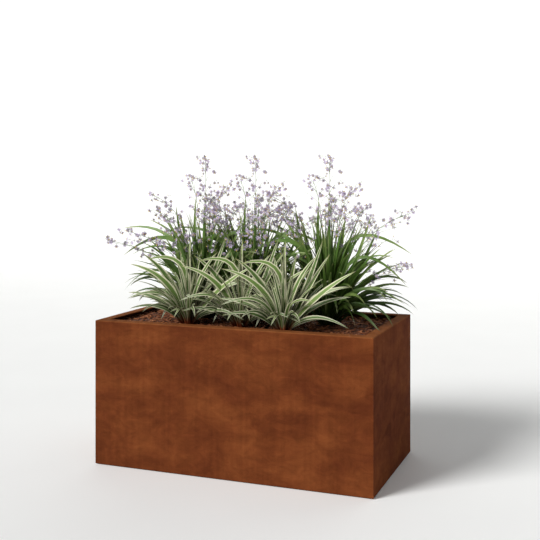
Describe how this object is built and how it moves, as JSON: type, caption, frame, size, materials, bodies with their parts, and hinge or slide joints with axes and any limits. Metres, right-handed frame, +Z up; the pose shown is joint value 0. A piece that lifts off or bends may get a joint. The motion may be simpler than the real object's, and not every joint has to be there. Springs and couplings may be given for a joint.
{
  "type": "planter box",
  "caption": "Oblong planter box in rusted weathering steel with a folded-in rim, raised floor on levelling feet, soil, bark and clumps of flax lily.",
  "frame": {"origin": "on the ground under the middle of the box", "axes": "+X along the long side to the right, +Y from front to back, +Z up"},
  "size_m": [1.23, 0.74, 1.098],
  "materials": {
    "weathering_steel": "matte",
    "galvanised_steel": "satin",
    "stainless_steel": "satin",
    "black_plastic": "matte",
    "grey_fleece": "matte",
    "expanded_clay": "matte",
    "planting_soil": "matte",
    "bark": "matte",
    "green_leaf": "satin",
    "striped_leaf": "satin"
  },
  "bodies": {
    "root": {"back_panel": "weathering_steel", "bark_mulch": "bark", "base_channel_back": "galvanised_steel", "base_channel_front": "galvanised_steel", "corner_nut_back_left_lower": "stainless_steel", "corner_nut_back_left_upper": "stainless_steel", "corner_nut_back_right_lower": "stainless_steel", "corner_nut_back_right_upper": "stainless_steel", "corner_nut_front_left_lower": "stainless_steel", "corner_nut_front_left_upper": "stainless_steel", "corner_nut_front_right_lower": "stainless_steel", "corner_nut_front_right_upper": "stainless_steel", "drain_strainer_1": "black_plastic", "drain_strainer_2": "black_plastic", "drain_strainer_3": "black_plastic", "drain_strainer_4": "black_plastic", "drain_strainer_5": "black_plastic", "drain_strainer_6": "black_plastic", "drainage_clay": "expanded_clay", "filter_fleece": "grey_fleece", "flax_lily_green_left": "green_leaf", "flax_lily_green_middle": "green_leaf", "flax_lily_green_right": "green_leaf", "flax_lily_striped_left": "striped_leaf", "flax_lily_striped_middle": "striped_leaf", "flax_lily_striped_right": "striped_leaf", "floor_tray": "galvanised_steel", "foot_bush_back_left": "galvanised_steel", "foot_bush_back_right": "galvanised_steel", "foot_bush_front_left": "galvanised_steel", "foot_bush_front_right": "galvanised_steel", "foot_lock_nut_back_left": "stainless_steel", "foot_lock_nut_back_right": "stainless_steel", "foot_lock_nut_front_left": "stainless_steel", "foot_lock_nut_front_right": "stainless_steel", "front_panel": "weathering_steel", "left_end_panel": "weathering_steel", "right_end_panel": "weathering_steel", "root_barrier_liner": "black_plastic", "soil": "planting_soil", "tie_bar": "galvanised_steel", "tie_bar_nut_back_left": "stainless_steel", "tie_bar_nut_front_right": "stainless_steel", "tray_nut_back_left": "stainless_steel", "tray_nut_back_right": "stainless_steel", "tray_nut_front_left": "stainless_steel", "tray_nut_front_right": "stainless_steel", "tray_nut_left_end": "stainless_steel", "tray_nut_right_end": "stainless_steel"},
    "foot_pad_front_left": {"foot_pad_front_left": "black_plastic"},
    "foot_stem_front_left": {"foot_stem_front_left": "stainless_steel"},
    "foot_pad_front_right": {"foot_pad_front_right": "black_plastic"},
    "foot_stem_front_right": {"foot_stem_front_right": "stainless_steel"},
    "foot_pad_back_right": {"foot_pad_back_right": "black_plastic"},
    "foot_stem_back_right": {"foot_stem_back_right": "stainless_steel"},
    "foot_pad_back_left": {"foot_pad_back_left": "black_plastic"},
    "foot_stem_back_left": {"foot_stem_back_left": "stainless_steel"}
  },
  "joints": [
    {"name": "foot_travel_front_left", "type": "slide", "parent": "root", "child": "foot_pad_front_left", "axis": [0, 0, -1], "range_m": [0, 0.015]},
    {"name": "foot_screw_front_left", "type": "hinge", "parent": "foot_pad_front_left", "child": "foot_stem_front_left", "pos_m": [-0.39, -0.165, 0.03], "axis": [0, 0, -1], "range_deg": [0, 3090]},
    {"name": "foot_travel_front_right", "type": "slide", "parent": "root", "child": "foot_pad_front_right", "axis": [0, 0, -1], "range_m": [0, 0.015]},
    {"name": "foot_screw_front_right", "type": "hinge", "parent": "foot_pad_front_right", "child": "foot_stem_front_right", "pos_m": [0.39, -0.165, 0.03], "axis": [0, 0, -1], "range_deg": [0, 3090]},
    {"name": "foot_travel_back_right", "type": "slide", "parent": "root", "child": "foot_pad_back_right", "axis": [0, 0, -1], "range_m": [0, 0.015]},
    {"name": "foot_screw_back_right", "type": "hinge", "parent": "foot_pad_back_right", "child": "foot_stem_back_right", "pos_m": [0.39, 0.165, 0.03], "axis": [0, 0, -1], "range_deg": [0, 3090]},
    {"name": "foot_travel_back_left", "type": "slide", "parent": "root", "child": "foot_pad_back_left", "axis": [0, 0, -1], "range_m": [0, 0.015]},
    {"name": "foot_screw_back_left", "type": "hinge", "parent": "foot_pad_back_left", "child": "foot_stem_back_left", "pos_m": [-0.39, 0.165, 0.03], "axis": [0, 0, -1], "range_deg": [0, 3090]}
  ],
  "couplings": [
    {"joint": "foot_screw_front_left", "follows": "foot_travel_front_left", "rad_per_m": 3590.4},
    {"joint": "foot_screw_front_right", "follows": "foot_travel_front_right", "rad_per_m": 3590.4},
    {"joint": "foot_screw_back_right", "follows": "foot_travel_back_right", "rad_per_m": 3590.4},
    {"joint": "foot_screw_back_left", "follows": "foot_travel_back_left", "rad_per_m": 3590.4}
  ]
}
